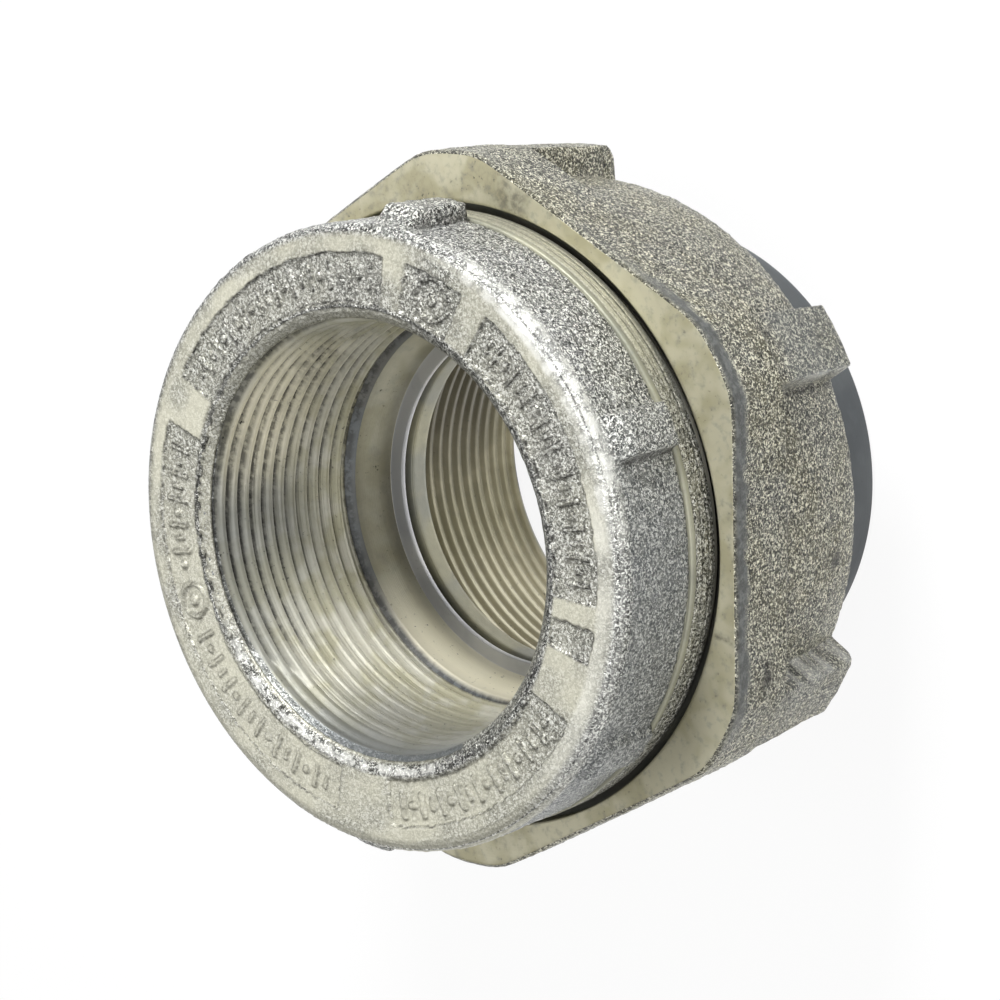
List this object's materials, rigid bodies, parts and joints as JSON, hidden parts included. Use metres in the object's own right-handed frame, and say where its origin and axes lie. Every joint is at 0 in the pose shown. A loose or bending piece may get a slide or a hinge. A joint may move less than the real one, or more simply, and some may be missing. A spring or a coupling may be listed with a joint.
{
  "type": "conduit union",
  "caption": "Female-to-female pipe-thread union: a cast front hub and a tail hub drawn together by a hexagonal ring nut with ribbed corners.",
  "frame": {"origin": "centre of the tail hub's flat end, which the part stands on", "axes": "+Z along the bores, from the tail hub to the front hub's cast face; +X square to a flat of the ring nut"},
  "size_m": [0.0892, 0.097, 0.0675],
  "materials": {
    "cast_face": "zinc plated rough casting, bright grey",
    "cast_nut": "zinc plated casting with a yellow tint, turned front face",
    "turned_tail": "turned and plated, dark grey"
  },
  "bodies": {
    "tail_hub": {"tail_hub": "turned_tail"},
    "ring_nut": {"ring_nut": "cast_nut"},
    "front_hub": {"front_hub": "cast_face"}
  },
  "joints": [
    {"name": "nut_turn", "type": "hinge", "parent": "tail_hub", "child": "ring_nut", "pos_m": [0, 0, 0.0226], "axis": [0, 0, -1], "range_deg": [-204, 2880]},
    {"name": "front_hub_travel", "type": "slide", "parent": "tail_hub", "child": "front_hub", "axis": [0, 0, 1], "range_m": [-0.0012, 0.017]}
  ],
  "couplings": [
    {"joint": "front_hub_travel", "follows": "nut_turn", "m_per_rad": 0.00033688}
  ]
}
